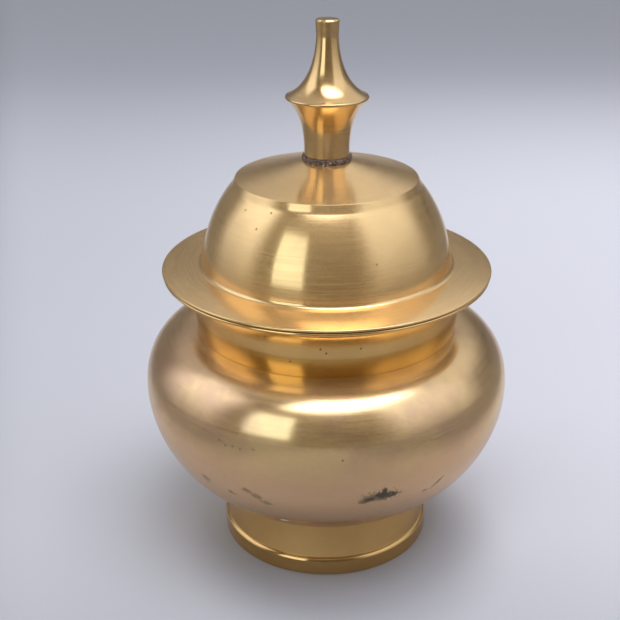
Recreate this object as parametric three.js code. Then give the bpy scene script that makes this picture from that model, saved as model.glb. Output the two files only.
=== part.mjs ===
// A lidded rice bowl in turned brass: a round pot on a stepped foot ring, with a flared mouth,
// under a domed lid with a wide brim and a tall turned knob.
// Millimetres, +Z up. The origin is the centre of the foot's underside.
// Every piece is turned about the Z axis.

import * as THREE from 'three';

// Driving dimensions of the pot
const bellyRadius = 50;
const bellyEquatorZ = 48;
const bellyDepth = 39.6;
const shoulderRise = 16.2;
const bellyWall = 1.6;

// Driving dimensions of the mouth
const neckRadius = 35.4;
const neckRise = 15.8;
const neckWall = 1.6;
const rimFlare = 8.6;
const rimEdge = 0.8;
const rimSeatWidth = 4;

// Driving dimensions of the foot
const footWaistRadius = 27.6;
const footSpread = 2;
const footBandHeight = 5.2;
const footWall = 1.8;
const footSoleWidth = 2.8;
const footSoleRound = 0.4;
const footLedgeRound = 0.9;
const footSolderLeg = 2;

// Driving dimensions of the lid
const lidWall = 1.5;
const brimOverhang = 0.25;
const brimEdge = 0.7;
const brimRise = 0.7;
const domeSetback = 2;
const domeRise = 21.5;
const domeBulgeRadius = 36.6;
const brimFilletRadius = 1.9;
const crownStepRadius = 25;
const crownStepRise = 1.9;
const crownStepInset = 0.95;
const crownRise = 6.1;
const locatingRingDepth = 6;
const locatingRingWall = 1.2;
const locatingRingLead = 0.5;

// Driving dimensions of the knob
const solderCollarSpread = 0.6;
const solderCollarHeight = 0.9;
const solderCollarWidth = 2.2;
const solderCollarRound = 0.4;
const tenonRadius = 2.6;
const rivetOverlap = 1.6;
const rivetHeight = 1.4;
const knobStemRadius = 5.9;
const knobCupRise = 14.55;
const knobLipRadius = 10.75;
const knobLipThickness = 0.9;
const knobSpireRise = 14.9;
const knobSpireRadius = 2.85;
const knobTipRise = 4.1;
const knobTipRadius = 3.05;
const knobTipChamfer = 0.4;

// Clearances: at a soldered seam or a seat, and round a piece that slips into another
const seamGap = 0.3;
const slipFit = 0.6;

// Shape numbers, without a unit
const shoulderSquareness = 2.2;
const neckLeanShare = 0.07;
const neckHandleShare = 0.57;
const rimHandleShare = 0.83;
const rimDroopShare = 0.035;
const throatHandleShare = 0.45;
const throatEaseShare = 0.8;
const footWaistPullShare = 0.06;
const cupHandleShare = 0.623;
const cupLipShares = [0.56, 0.198];
const spireShares = [[0.49, 0.116], [0.046, 0.423]];
const rivetCrownShare = 0.5;
const solderFaceShare = 0.25;
const solderClearShare = 1.5;

// Steps round the axis, and along the curves of an outline
const stepsRound = 48;
const knobStepsRound = 32;
const bellySteps = 11;
const shoulderSteps = 8;
const sweepSteps = 7;
const domeSteps = 8;
const roundingSteps = 3;

// Radii that follow
const rimRadius = neckRadius + rimFlare;
const lidRadius = rimRadius + brimOverhang;
const domeRadius = neckRadius - domeSetback;
const crownRadius = crownStepRadius - crownStepInset;
const footRadius = footWaistRadius + footSpread;
const solderCollarRadius = knobStemRadius + solderCollarSpread;
const rivetRadius = tenonRadius + rivetOverlap;

// Heights that follow
const shoulderZ = bellyEquatorZ + shoulderRise;
const collarFootZ = shoulderZ + seamGap;
const rimTopZ = collarFootZ + neckRise;
const brimUnderZ = rimTopZ + seamGap;
const brimTopZ = brimUnderZ + brimEdge;
const brimRootZ = brimTopZ + brimRise;
const crownStepZ = brimRootZ + domeRise;
const crownEdgeZ = crownStepZ + crownStepRise;
const crownSlope = crownRise / crownRadius;
const knobFootZ = crownTopZ(solderCollarRadius) + solderCollarHeight + 2 * seamGap;
const knobLipZ = knobFootZ + knobCupRise;

function at(radius, z) {
  return new THREE.Vector2(radius, z);
}

// Height of the crown's upper face, a shallow cone
function crownTopZ(radius) {
  return crownEdgeZ + (crownRadius - radius) * crownSlope;
}

// Height of the crown's under face, one wall below
function crownUnderZ(radius) {
  return crownTopZ(radius) - lidWall * Math.hypot(1, crownSlope);
}

// Height of the pot's outside below its widest ring, an ellipse
function bellyUnderZ(radius) {
  return bellyEquatorZ - bellyDepth * Math.sqrt(1 - (radius / bellyRadius) ** 2);
}

// The lower half of the pot, from the axis out to the widest ring
function belly(inset) {
  const points = [];
  for (let i = 0; i <= bellySteps; i += 1) {
    const angle = (i / bellySteps) * Math.PI / 2;
    const radius = (bellyRadius - inset) * Math.sin(angle);
    points.push(at(radius, bellyEquatorZ - (bellyDepth - inset) * Math.cos(angle)));
  }
  return points;
}

// The shoulder, from just above the widest ring to the level land at the neck
function shoulder(inset) {
  const landRadius = neckRadius - inset;
  const reach = bellyRadius - neckRadius;
  const rise = shoulderRise - inset;
  const power = 2 / shoulderSquareness;
  const points = [];
  for (let i = 1; i <= shoulderSteps; i += 1) {
    const angle = (i / shoulderSteps) * Math.PI / 2;
    const radius = landRadius + reach * Math.cos(angle) ** power;
    points.push(at(radius, bellyEquatorZ + rise * Math.sin(angle) ** power));
  }
  return points;
}

// Points along a Bezier curve through two handles, its start left out
function sweep(start, startHandle, endHandle, end, steps) {
  return new THREE.CubicBezierCurve(start, startHandle, endHandle, end).getPoints(steps).slice(1);
}

// An arc between two points, its start left out. A positive radius bulges to the right of
// the way from start to end, which is outward on an outline that runs anticlockwise.
function arc(start, end, radius, steps) {
  const half = end.clone().sub(start).multiplyScalar(0.5);
  const right = at(half.y, -half.x).normalize();
  const sagittaSide = Math.sqrt(Math.max(radius ** 2 - half.lengthSq(), 0)) * Math.sign(radius);
  const centre = start.clone().add(half).addScaledVector(right, -sagittaSide);
  const turn = 2 * Math.asin(Math.min(half.length() / Math.abs(radius), 1)) * Math.sign(radius);
  const spoke = start.clone().sub(centre);
  const points = [];
  for (let i = 1; i < steps; i += 1) {
    points.push(spoke.clone().rotateAround(at(0, 0), (turn * i) / steps).add(centre));
  }
  return [...points, end];
}

// Points one wall inside a run of outline points, square to the run
function insetRun(points, wall) {
  return points.map((point, i) => {
    const before = points[Math.max(i - 1, 0)];
    const after = points[Math.min(i + 1, points.length - 1)];
    const along = after.clone().sub(before).normalize();
    return at(point.x - wall * along.y, point.y + wall * along.x);
  });
}

// Where a falling or rising run of points passes a height
function radiusAt(points, z) {
  const next = points.findIndex((point, i) => i > 0 && (point.y - z) * (points[i - 1].y - z) <= 0);
  const from = points[next - 1];
  const to = points[next];
  return from.x + (to.x - from.x) * (z - from.y) / (to.y - from.y);
}

// A named piece turned about the Z axis from an outline that runs anticlockwise and either
// closes on itself or starts and ends on the axis
function turned(name, outline, material, steps = stepsRound) {
  const onAxis = outline[0].x === 0;
  const closed = onAxis ? outline : [...outline, outline[0].clone()];
  const geometry = new THREE.LatheGeometry(closed, steps);
  geometry.rotateX(Math.PI / 2);
  const mesh = new THREE.Mesh(geometry, material);
  mesh.name = name;
  return mesh;
}

function brass(colour, roughness) {
  return new THREE.MeshStandardMaterial({ color: colour, roughness, metalness: 1 });
}

const paleBrass = brass('#c9a26c', 0.24);
const goldBrass = brass('#cda45e', 0.26);
const deepBrass = brass('#b98d4c', 0.3);
const rawBrass = brass('#a5824e', 0.5);
const darkSolder = new THREE.MeshStandardMaterial({ color: '#5a453c', roughness: 0.75, metalness: 0.6 });

// The pot's shell: round base, belly and shoulder in one wall, open at the neck
function makeBellyShell() {
  const inside = [...belly(bellyWall), ...shoulder(bellyWall)].reverse();
  const land = at(neckRadius - neckWall, shoulderZ);
  const mouthEdge = at(neckRadius - neckWall, shoulderZ - bellyWall);
  inside[0] = mouthEdge;
  return turned('belly_shell', [...belly(0), ...shoulder(0), land, ...inside], paleBrass);
}

// The collar's throat, from the inner edge of the rim's level seat down to the seam
function throat() {
  const seatInner = at(rimRadius - rimEdge / 2 - rimSeatWidth, rimTopZ);
  const foot = at(neckRadius - neckWall, collarFootZ);
  const seatHandle = at(seatInner.x - (seatInner.x - foot.x) * throatEaseShare, rimTopZ);
  const footHandle = at(foot.x, foot.y + neckRise * throatHandleShare);
  return [seatInner, ...sweep(seatInner, seatHandle, footHandle, foot, sweepSteps)];
}

// The mouth: a collar that stands on the shoulder and flares out to a level rim
function makeNeckCollar() {
  const foot = at(neckRadius, collarFootZ);
  const edgeUnder = at(rimRadius - rimEdge / 2, rimTopZ - rimEdge);
  const edgeTop = at(rimRadius - rimEdge / 2, rimTopZ);
  const flare = edgeUnder.x - neckRadius;
  const footHandle = at(neckRadius + flare * neckLeanShare, collarFootZ + neckRise * neckHandleShare);
  const rimHandle = at(edgeUnder.x - flare * rimHandleShare, edgeUnder.y - neckRise * rimDroopShare);
  const outside = sweep(foot, footHandle, rimHandle, edgeUnder, sweepSteps);
  const edge = arc(edgeUnder, edgeTop, rimEdge / 2, roundingSteps);
  return turned('neck_collar', [foot, ...outside, ...edge, ...throat()], goldBrass);
}

// The foot's steep side, slightly hollow, from the ledge up to the pot, and the same side one wall in
function footSides() {
  const ledge = at(footRadius - footLedgeRound, footBandHeight);
  const waist = at(footWaistRadius, bellyUnderZ(footWaistRadius) - seamGap);
  const middle = ledge.clone().lerp(waist, 0.5);
  const chord = waist.clone().sub(ledge);
  const pull = at(-chord.y, chord.x).multiplyScalar(footWaistPullShare);
  const handle = middle.clone().add(pull);
  const side = new THREE.QuadraticBezierCurve(ledge, handle, waist).getPoints(sweepSteps);
  const seatRadius = footWaistRadius - footWall;
  const seat = at(seatRadius, bellyUnderZ(seatRadius) - seamGap);
  return { side, hollow: [...insetRun(side, footWall).slice(1, -1), seat] };
}

// The foot: a level sole, an upright band with a rounded ledge, and a steep side that is set back from it
function makeFootRing() {
  const { side, hollow } = footSides();
  const soleOuter = at(footRadius - footSoleRound, 0);
  const soleInner = at(soleOuter.x - footSoleWidth, 0);
  const bandFoot = at(footRadius, footSoleRound);
  const bandTop = at(footRadius, footBandHeight - footLedgeRound);
  const sole = arc(soleOuter, bandFoot, footSoleRound, roundingSteps);
  const ledge = arc(bandTop, side[0], footLedgeRound, roundingSteps);
  const outside = [soleInner, soleOuter, ...sole, bandTop, ...ledge, ...side.slice(1)];
  return turned('foot_ring', [...outside, ...[...hollow].reverse()], goldBrass);
}

// Solder in the inner corner between the foot and the pot's base
function makeFootSolder() {
  const { hollow } = footSides();
  const wallTop = hollow[hollow.length - 1];
  const clearance = seamGap * solderClearShare;
  const corner = at(wallTop.x - seamGap, bellyUnderZ(wallTop.x - seamGap) - clearance);
  const inner = at(corner.x - footSolderLeg, bellyUnderZ(corner.x - footSolderLeg) - seamGap);
  const lowZ = corner.y - footSolderLeg;
  const low = at(radiusAt(hollow, lowZ) - clearance, lowZ);
  const face = inner.clone().add(low).multiplyScalar(0.5).lerp(corner, solderFaceShare);
  return turned('foot_solder_fillet', [inner, face, low, corner], darkSolder);
}

// The lid: brim, dome, a small step and a shallow cone with a hole for the knob's tenon
function makeLidShell() {
  const edgeUnder = at(lidRadius - brimEdge / 2, brimUnderZ);
  const edgeTop = at(lidRadius - brimEdge / 2, brimTopZ);
  const brimRoot = at(domeRadius + brimFilletRadius, brimRootZ);
  const domeFoot = at(domeRadius, brimRootZ + brimFilletRadius);
  const stepFoot = at(crownStepRadius, crownStepZ);
  const stepTop = at(crownRadius, crownEdgeZ);
  const holeRadius = tenonRadius + seamGap;
  const brim = [...arc(edgeUnder, edgeTop, brimEdge / 2, roundingSteps), brimRoot];
  const fillet = arc(brimRoot, domeFoot, -brimFilletRadius, roundingSteps);
  const dome = [domeFoot, ...arc(domeFoot, stepFoot, domeBulgeRadius, domeSteps)];
  const crown = [stepTop, at(holeRadius, crownTopZ(holeRadius))];
  const domeInside = insetRun(dome, lidWall).slice(0, -1).reverse();
  const crownCorner = at(crownRadius - lidWall, crownUnderZ(crownRadius - lidWall));
  const inside = [at(holeRadius, crownUnderZ(holeRadius)), crownCorner, ...domeInside];
  const underEdge = at(domeInside[domeInside.length - 1].x, brimUnderZ);
  const outside = [edgeUnder, ...brim, ...fillet, ...dome.slice(1), ...crown];
  return turned('lid_shell', [underEdge, ...outside, ...inside], goldBrass);
}

// The band under the brim that drops into the mouth and keeps the lid in place
function makeLocatingRing() {
  const topZ = brimUnderZ - seamGap;
  const footZ = brimUnderZ - locatingRingDepth;
  const outer = radiusAt(throat(), footZ) - slipFit;
  const inner = outer - locatingRingWall;
  const outline = [
    at(inner, footZ),
    at(outer - locatingRingLead, footZ),
    at(outer, footZ + locatingRingLead),
    at(outer, topZ),
    at(inner, topZ),
  ];
  return turned('lid_locating_ring', outline, rawBrass);
}

// The ring of dark solder under the edge of the knob's foot, which holds the knob on the crown
function makeSolderCollar() {
  const inner = solderCollarRadius - solderCollarWidth;
  const topZ = knobFootZ - seamGap;
  const footOuter = at(solderCollarRadius, crownTopZ(solderCollarRadius) + seamGap);
  const shoulderPoint = at(solderCollarRadius, topZ - solderCollarRound);
  const topOuter = at(solderCollarRadius - solderCollarRound, topZ);
  const round = arc(shoulderPoint, topOuter, solderCollarRound, roundingSteps);
  const footInner = at(inner, crownTopZ(inner) + seamGap);
  const outline = [footInner, footOuter, shoulderPoint, ...round, at(inner, topZ)];
  return turned('knob_solder_collar', outline, darkSolder, knobStepsRound);
}

// The knob: a cup-shaped stem, a thin lip and a slim spire with a level tip, in one piece
// with the tenon that passes through the crown and is riveted over beneath it
function makeKnob() {
  const headTopZ = crownUnderZ(rivetRadius) - seamGap;
  const headFootZ = headTopZ - rivetHeight;
  const tenonFoot = at(tenonRadius, crownUnderZ(tenonRadius) - seamGap);
  const headSag = rivetHeight * rivetCrownShare;
  const headSide = at(rivetRadius, headFootZ + headSag);
  const headBulgeRadius = (rivetRadius ** 2 + headSag ** 2) / (2 * headSag);
  const headRound = arc(at(0, headFootZ), headSide, headBulgeRadius, roundingSteps);
  const rivet = [at(0, headFootZ), ...headRound, at(rivetRadius, headTopZ), tenonFoot];

  const foot = at(knobStemRadius, knobFootZ);
  const lipUnder = at(knobLipRadius - knobLipThickness / 2, knobLipZ);
  const lipTop = at(knobLipRadius - knobLipThickness / 2, knobLipZ + knobLipThickness);
  const flare = lipUnder.x - knobStemRadius;
  const footHandle = at(knobStemRadius, knobFootZ + knobCupRise * cupHandleShare);
  const cupHandle = at(lipUnder.x - flare * cupLipShares[0], knobLipZ - knobCupRise * cupLipShares[1]);
  const cup = sweep(foot, footHandle, cupHandle, lipUnder, sweepSteps);
  const lip = arc(lipUnder, lipTop, knobLipThickness / 2, roundingSteps);

  const spireTop = at(knobSpireRadius, lipTop.y + knobSpireRise);
  const drop = lipTop.x - knobSpireRadius;
  const [lowHandle, highHandle] = spireShares.map(([reach, rise]) => (
    at(knobSpireRadius + drop * reach, lipTop.y + knobSpireRise * rise)
  ));
  const spire = sweep(lipTop, lowHandle, highHandle, spireTop, sweepSteps + 1);
  const tipZ = spireTop.y + knobTipRise;
  const tipSide = at(knobTipRadius, tipZ - knobTipChamfer);
  const tip = [tipSide, at(knobTipRadius - knobTipChamfer, tipZ), at(0, tipZ)];
  const outline = [...rivet, at(tenonRadius, knobFootZ), foot, ...cup, ...lip, ...spire, ...tip];
  return turned('knob', outline, deepBrass, knobStepsRound);
}

const pot = new THREE.Group();
pot.add(makeFootRing(), makeFootSolder(), makeBellyShell(), makeNeckCollar());

const lid = new THREE.Group();
lid.add(makeLidShell(), makeLocatingRing(), makeSolderCollar(), makeKnob());

const riceBowl = new THREE.Group();
riceBowl.add(pot, lid);

export default riceBowl;
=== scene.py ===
"""The looks of a lidded rice bowl in turned brass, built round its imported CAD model.

Each visible piece is turned again from its outline, finer than the CAD solid that it stands for and with its
corners eased. It gets a brass finish with turning marks, tarnish, pits and stains.
"""

import math

import bpy
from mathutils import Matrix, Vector, noise


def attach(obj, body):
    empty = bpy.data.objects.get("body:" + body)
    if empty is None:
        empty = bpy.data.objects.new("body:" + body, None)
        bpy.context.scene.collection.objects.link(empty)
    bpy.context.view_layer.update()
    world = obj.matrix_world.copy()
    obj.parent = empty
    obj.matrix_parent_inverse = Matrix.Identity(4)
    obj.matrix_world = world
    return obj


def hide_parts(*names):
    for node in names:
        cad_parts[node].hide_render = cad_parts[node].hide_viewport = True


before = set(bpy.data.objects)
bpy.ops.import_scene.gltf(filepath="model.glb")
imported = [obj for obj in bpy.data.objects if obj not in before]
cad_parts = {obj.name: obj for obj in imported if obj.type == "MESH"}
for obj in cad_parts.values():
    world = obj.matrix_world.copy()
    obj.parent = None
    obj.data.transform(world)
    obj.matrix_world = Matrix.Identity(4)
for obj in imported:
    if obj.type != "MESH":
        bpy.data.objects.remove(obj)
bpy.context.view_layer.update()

MM = 0.001

# The bowl's sizes, in millimetres, as in the CAD model but for the neck's lean and the ledge's bulge
BELLY_RADIUS = 50
BELLY_EQUATOR_Z = 48
BELLY_DEPTH = 39.6
SHOULDER_RISE = 16.2
SHOULDER_SQUARENESS = 2.2
BELLY_WALL = 1.6
NECK_RADIUS = 35.4
NECK_RISE = 15.8
NECK_WALL = 1.6
NECK_LEAN = 0.11
NECK_HANDLE = 0.57
RIM_RADIUS = 44
RIM_EDGE = 0.8
RIM_SEAT_WIDTH = 4
RIM_HANDLE = 0.83
RIM_DROOP = 0.035
THROAT_HANDLE = 0.45
THROAT_EASE = 0.8
FOOT_RADIUS = 29.6
FOOT_WAIST_RADIUS = 27.6
FOOT_WAIST_PULL = 0.06
FOOT_BAND_HEIGHT = 5.2
FOOT_WALL = 1.8
FOOT_SOLE_WIDTH = 2.8
FOOT_SOLE_ROUND = 0.4
FOOT_LEDGE_ROUND = 0.9
FOOT_LEDGE_BULGE_RADIUS = 1.6
FOOT_SOLDER_LEG = 2
FOOT_SOLDER_HOLLOW = 0.25

# The lid's sizes, as in the CAD model but for the brim's bulge and its fillet
LID_RADIUS = 44.25
LID_WALL = 1.5
BRIM_EDGE = 0.7
BRIM_RISE = 0.7
BRIM_BULGE_RADIUS = 90
DOME_RADIUS = 33.4
DOME_RISE = 21.5
DOME_BULGE_RADIUS = 36.6
BRIM_FILLET_RADIUS = 1.3
CROWN_STEP_RADIUS = 25
CROWN_STEP_RISE = 1.9
CROWN_RADIUS = 24.05
CROWN_RISE = 6.1
LOCATING_RING_DEPTH = 6
LOCATING_RING_WALL = 1.2
LOCATING_RING_LEAD = 0.5

# The knob's sizes, as in the CAD model
SOLDER_COLLAR_RADIUS = 6.5
SOLDER_COLLAR_HEIGHT = 0.9
SOLDER_COLLAR_WIDTH = 2.2
SOLDER_COLLAR_ROUND = 0.4
TENON_RADIUS = 2.6
RIVET_RADIUS = 4.2
RIVET_HEIGHT = 1.4
KNOB_STEM_RADIUS = 5.9
KNOB_CUP_RISE = 14.55
KNOB_CUP_HANDLE = 0.623
KNOB_LIP_RADIUS = 10.75
KNOB_LIP_THICKNESS = 0.9
KNOB_LIP_HANDLE = (0.56, 0.198)
KNOB_SPIRE_RISE = 14.9
KNOB_SPIRE_RADIUS = 2.85
KNOB_SPIRE_HANDLES = ((0.49, 0.116), (0.046, 0.423))
KNOB_TIP_RISE = 4.1
KNOB_TIP_RADIUS = 3.05
KNOB_TIP_CHAMFER = 0.4

# Lumps of the solder under the knob, which start a little way in from its hidden inner edge
LUMP_HEIGHT = 0.11
LUMP_SCALE = 0.9
LUMP_FALLOFF = 1.0
LUMP_STEP = 2.0
LUMP_OCTAVES = 3
LUMP_FREE_WIDTH = 1

# Clearances, as in the CAD model
SEAM_GAP = 0.3
SLIP_FIT = 0.6

# How finely the pieces are turned: steps round the axis, and points along each kind of curve
STEPS_ROUND = 192
KNOB_STEPS_ROUND = 128
OUTLINE_STEP = 0.6
CURVE_STEPS = 40
ARC_STEPS = 10
BELLY_STEPS = 90
SHOULDER_STEPS = 60
DOME_STEPS = 60
SPIRE_STEPS = 60
BRIM_STEPS = 16
FOOT_SIDE_STEPS = 24
FOOT_SOLDER_STEPS = 10

# Sharp corners: how far they are eased, and the support point that keeps the flat beside them flat
EDGE_EASE = 0.14
EASE_STEPS = 4
EASE_SUPPORT = 0.03
EASE_MOST_SHARE = 0.4
SHARP_TURN = math.radians(20)

# Finishes of a piece's faces
OUTSIDE, INSIDE = 0, 1

# Heights that follow
SHOULDER_Z = BELLY_EQUATOR_Z + SHOULDER_RISE
COLLAR_FOOT_Z = SHOULDER_Z + SEAM_GAP
RIM_TOP_Z = COLLAR_FOOT_Z + NECK_RISE
BRIM_UNDER_Z = RIM_TOP_Z + SEAM_GAP
BRIM_TOP_Z = BRIM_UNDER_Z + BRIM_EDGE
BRIM_ROOT_Z = BRIM_TOP_Z + BRIM_RISE
CROWN_STEP_Z = BRIM_ROOT_Z + DOME_RISE
CROWN_EDGE_Z = CROWN_STEP_Z + CROWN_STEP_RISE
CROWN_SLOPE = CROWN_RISE / CROWN_RADIUS


def crown_top_z(radius):
    """Height of the crown's upper face, a shallow cone."""
    return CROWN_EDGE_Z + (CROWN_RADIUS - radius) * CROWN_SLOPE


def crown_under_z(radius):
    """Height of the crown's under face, one wall below."""
    return crown_top_z(radius) - LID_WALL * math.hypot(1, CROWN_SLOPE)


def belly_under_z(radius):
    """Height of the pot's outside below its widest ring."""
    return BELLY_EQUATOR_Z - BELLY_DEPTH * math.sqrt(1 - (radius / BELLY_RADIUS) ** 2)


KNOB_FOOT_Z = crown_top_z(SOLDER_COLLAR_RADIUS) + SOLDER_COLLAR_HEIGHT + 2 * SEAM_GAP
KNOB_LIP_Z = KNOB_FOOT_Z + KNOB_CUP_RISE


# Outlines: lists of (radius, height) points in millimetres


def line(start, end):
    """Evenly spaced points of a straight run, its start left out."""
    steps = max(1, math.ceil(math.dist(start, end) / OUTLINE_STEP))
    return [tuple(Vector(start).lerp(Vector(end), i / steps)) for i in range(1, steps + 1)]


def sweep(start, start_handle, end_handle, end, steps=CURVE_STEPS):
    """Points of a Bezier curve, its start left out."""
    points = []
    for i in range(1, steps + 1):
        t = i / steps
        weights = ((1 - t) ** 3, 3 * t * (1 - t) ** 2, 3 * t * t * (1 - t), t**3)
        corners = (start, start_handle, end_handle, end)
        points.append(tuple(sum(w * c[k] for w, c in zip(weights, corners)) for k in (0, 1)))
    return points


def arc(start, end, radius, steps=ARC_STEPS):
    """Points of an arc, its start left out.

    A positive radius bulges to the right of the way from start to end.
    """
    start, end = Vector(start), Vector(end)
    half = (end - start) / 2
    right = Vector((half.y, -half.x)).normalized()
    side = math.copysign(1, radius)
    centre = start + half - right * side * math.sqrt(max(radius**2 - half.length_squared, 0))
    turn = side * 2 * math.asin(min(half.length / abs(radius), 1))
    spoke = start - centre
    points = []
    for i in range(1, steps + 1):
        angle = turn * i / steps
        across = Vector((-spoke.y, spoke.x))
        points.append(tuple(centre + spoke * math.cos(angle) + across * math.sin(angle)))
    return points


def inset(points, wall):
    """Points one wall inside a run of outline points, square to the run."""
    moved = []
    for i, point in enumerate(points):
        before = Vector(points[max(i - 1, 0)])
        after = Vector(points[min(i + 1, len(points) - 1)])
        along = (after - before).normalized()
        moved.append((point[0] - wall * along.y, point[1] + wall * along.x))
    return moved


def radius_at(points, z):
    """Radius at which a run of points passes a height."""
    for (r0, z0), (r1, z1) in zip(points, points[1:]):
        if (z0 - z) * (z1 - z) <= 0 and z0 != z1:
            return r0 + (r1 - r0) * (z - z0) / (z1 - z0)
    raise ValueError(f"no point of the run is {z} mm high")


def marked(points, finish):
    """The points, each with the finish of the face that starts there."""
    return [(r, z, finish) for r, z in points]


def eased(outline):
    """The outline with each sharp corner rounded.

    A point close to each side of a corner keeps the flat beside it flat.
    """
    made = []
    for i, (r, z, finish) in enumerate(outline):
        corner = Vector((r, z))
        before = Vector(outline[i - 1][:2])
        after = Vector(outline[(i + 1) % len(outline)][:2])
        into, out = corner - before, after - corner
        turn = 0 if r == 0 else abs(into.angle_signed(out))
        if turn < SHARP_TURN:
            made.append((r, z, finish))
            continue
        most = EASE_MOST_SHARE * min(into.length, out.length)
        trim = min(EDGE_EASE * math.tan(turn / 2), most)
        start, end = corner - into.normalized() * trim, corner + out.normalized() * trim
        if into.length - trim > 2 * EASE_SUPPORT:
            made.append((*(start - into.normalized() * EASE_SUPPORT), outline[i - 1][2]))
        for step in range(EASE_STEPS + 1):
            t = step / EASE_STEPS
            point = start * (1 - t) ** 2 + corner * 2 * t * (1 - t) + end * t * t
            made.append((*point, finish))
        if out.length - trim > 2 * EASE_SUPPORT:
            made.append((*(end + out.normalized() * EASE_SUPPORT), finish))
    return made


def placed(name, data):
    """A new object in the scene."""
    made = bpy.data.objects.new(name, data)
    bpy.context.scene.collection.objects.link(made)
    return made


def turned(name, outline, node, body, slot, finishes, steps=STEPS_ROUND):
    """A piece turned about the Z axis.

    Its outline runs anticlockwise and either closes on itself or starts and ends on the axis.
    """
    outline = eased(outline)
    on_axis = outline[0][0] == 0
    rings, vertices, along, distance = [], [], [], 0.0
    for i, (r, z, _) in enumerate(outline):
        if i:
            distance += math.dist(outline[i - 1][:2], (r, z))
        count = 1 if r == 0 else steps
        rings.append(range(len(vertices), len(vertices) + count))
        for k in range(count):
            angle = 2 * math.pi * k / steps
            vertices.append((r * MM * math.cos(angle), r * MM * math.sin(angle), z * MM))
        along += [distance] * count
    faces, finish_of_face = [], []
    pairs = range(len(outline) - 1) if on_axis else range(len(outline))
    for i in pairs:
        low, high = rings[i], rings[(i + 1) % len(rings)]
        for k in range(steps):
            after = (k + 1) % steps
            corners = [low[k % len(low)], low[after % len(low)], high[after % len(high)], high[k % len(high)]]
            faces.append(list(dict.fromkeys(corners)))
            finish_of_face.append(outline[i][2])
    mesh = bpy.data.meshes.new(name)
    mesh.from_pydata(vertices, [], faces)
    mesh.polygons.foreach_set("material_index", finish_of_face)
    mesh.polygons.foreach_set("use_smooth", [True] * len(faces))
    mesh.attributes.new("along", "FLOAT", "POINT").data.foreach_set("value", along)
    for material in finishes:
        mesh.materials.append(material)
    mesh.update()
    piece = placed(name, mesh)
    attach(piece, body)
    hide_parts(node)
    return piece


# Shader nodes

FLOAT, VECTOR, COLOUR = "NodeSocketFloat", "NodeSocketVector", "NodeSocketColor"
# The value that noise lies evenly about
NOISE_MIDDLE = 0.5


def set_or_link(tree, socket, value):
    """Gives a socket a plain value, or links another node's output to it."""
    if isinstance(value, bpy.types.NodeSocket):
        tree.links.new(value, socket)
    else:
        socket.default_value = value


def node(tree, kind, values=None, **settings):
    """A new node with its settings, and values or links for its sockets."""
    made = tree.nodes.new(kind)
    for key, value in settings.items():
        setattr(made, key, value)
    for socket, value in (values or {}).items():
        set_or_link(tree, made.inputs[socket], value)
    return made


def maths(tree, operation, first, second=0.0):
    return node(tree, "ShaderNodeMath", {0: first, 1: second}, operation=operation).outputs[0]


def times(tree, first, second):
    return maths(tree, "MULTIPLY", first, second)


def raised(tree, value, mask, amount):
    """The value with an amount added where the mask is 1."""
    return maths(tree, "ADD", value, times(tree, mask, amount))


def covered(tree, cover, below, above):
    """The number below, with the number above in its place where the cover is 1."""
    left = times(tree, below, maths(tree, "SUBTRACT", 1.0, cover))
    return raised(tree, left, cover, above)


def noise_value(tree, vector, scale=1.0, detail=2.0, roughness=0.5):
    values = {"Vector": vector, "Scale": scale, "Detail": detail, "Roughness": roughness}
    return node(tree, "ShaderNodeTexNoise", values).outputs["Fac"]


def fade(tree, value, low, high, to_low=0.0, to_high=1.0):
    """to_low where value is at low, to_high where it is at high, and a smooth change between."""
    values = {"Value": value, "From Min": low, "From Max": high, "To Min": to_low, "To Max": to_high}
    return node(tree, "ShaderNodeMapRange", values, interpolation_type="SMOOTHSTEP").outputs["Result"]


def mixed_colour(tree, share, first, second, blend="MIX"):
    """The first colour where the share is 0 and the second where it is 1."""
    made = node(tree, "ShaderNodeMix", data_type="RGBA", blend_type=blend)
    for name, value in {"Factor": share, "A": first, "B": second}.items():
        set_or_link(tree, next(s for s in made.inputs if s.name == name and s.enabled), value)
    return next(s for s in made.outputs if s.enabled)


def shader_group(name, inputs, outputs, build):
    """A node group with named sockets.

    build gets the tree and its inputs by name, and returns its outputs by name.
    """
    tree = bpy.data.node_groups.new(name, "ShaderNodeTree")
    for socket, (kind, value) in inputs.items():
        made = tree.interface.new_socket(socket, in_out="INPUT", socket_type=kind)
        made.default_value = value
    for socket, kind in outputs.items():
        tree.interface.new_socket(socket, in_out="OUTPUT", socket_type=kind)
    given = tree.nodes.new("NodeGroupInput")
    results = build(tree, given.outputs)
    end = tree.nodes.new("NodeGroupOutput")
    for socket, result in results.items():
        tree.links.new(result, end.inputs[socket])
    return tree


def place_group(tree, group, values):
    """A node group placed in a material with its own values. Returns its outputs."""
    made = node(tree, "ShaderNodeGroup", node_tree=group)
    for socket, value in values.items():
        set_or_link(tree, made.inputs[socket], value)
    return made.outputs


# Turning marks: how long each kind runs round the axis and its pitch along the outline, in millimetres
FINE_RINGS = (25.0, 0.25)
BROAD_RINGS = (40.0, 1.5)
WAVES = (30.0, 5.0)
SCRATCHES = (0.04, 0.03)
# How strongly the scratches gather along the fine rings, and where a fine ring starts and is full
STREAK_STRENGTH = 0.18
FINE_RING_EDGES = (0.3, 0.7)


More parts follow.
